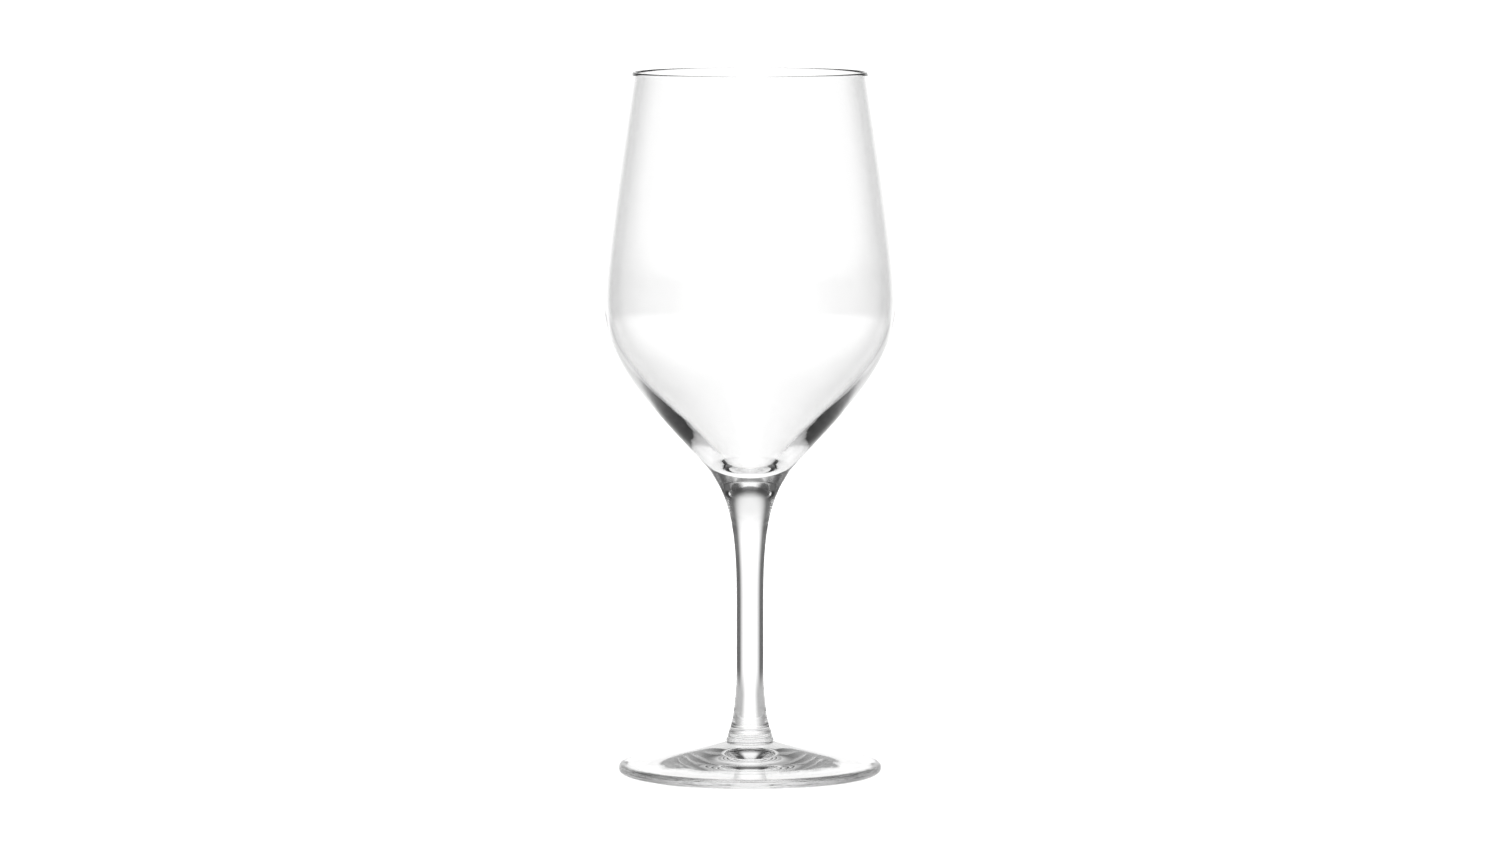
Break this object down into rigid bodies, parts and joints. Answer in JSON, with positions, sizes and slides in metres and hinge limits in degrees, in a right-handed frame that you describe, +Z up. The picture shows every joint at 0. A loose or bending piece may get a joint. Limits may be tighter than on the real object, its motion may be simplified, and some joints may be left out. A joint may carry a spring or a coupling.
{
  "type": "wine glass",
  "caption": "Clear stemmed wine glass with a tall tapered bowl on a cone-shaped base, a slim drawn stem, a welded collar and a round foot.",
  "frame": {"origin": "on the glass's axis, at the level of the surface it stands on", "axes": "+Z up along the axis from foot to rim; the glass is the same all round, so +X and +Y are free"},
  "size_m": [0.085, 0.085, 0.205],
  "materials": {
    "clear_glass": "clear, fire-polished, very smooth"
  },
  "bodies": {
    "root": {"bowl": "clear_glass", "stem": "clear_glass", "collar": "clear_glass", "foot": "clear_glass"}
  },
  "joints": []
}
